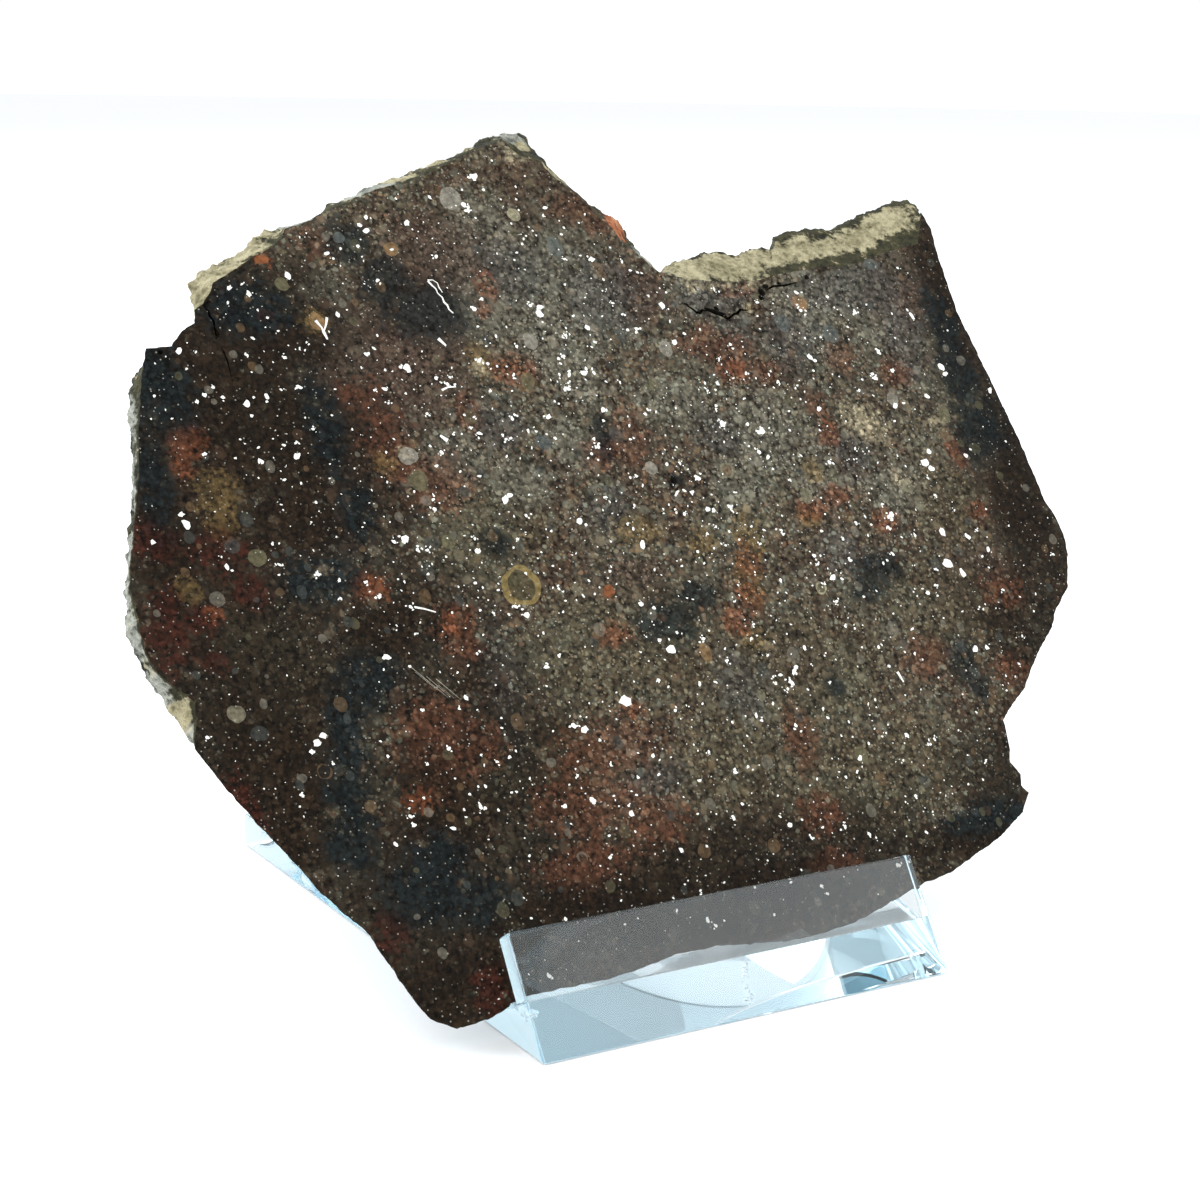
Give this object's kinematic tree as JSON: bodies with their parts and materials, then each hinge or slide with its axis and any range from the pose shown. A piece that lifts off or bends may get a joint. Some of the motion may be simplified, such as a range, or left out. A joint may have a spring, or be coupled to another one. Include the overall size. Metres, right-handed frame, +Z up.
{
  "type": "chondrite meteorite slice on an acrylic easel",
  "caption": "Sawn and polished part slice of a chondrite meteorite with natural crust along its rim, leaning back on a small clear acrylic easel.",
  "frame": {"origin": "middle of the easel's foot, on the surface that it stands on", "axes": "+X to the right seen from the front, along the slice's width; +Y to the back, the way the slice leans; +Z up"},
  "size_m": [0.1208, 0.075, 0.0864],
  "materials": {
    "chondrite": "polished sawn face with metal flecks, rough pale crust on the rim",
    "clear_acrylic": "clear, flame-polished edges"
  },
  "bodies": {
    "root": {"meteorite_slice": "chondrite", "easel_base": "clear_acrylic", "easel_front_lip": "clear_acrylic", "easel_back_rest": "clear_acrylic"}
  },
  "joints": []
}
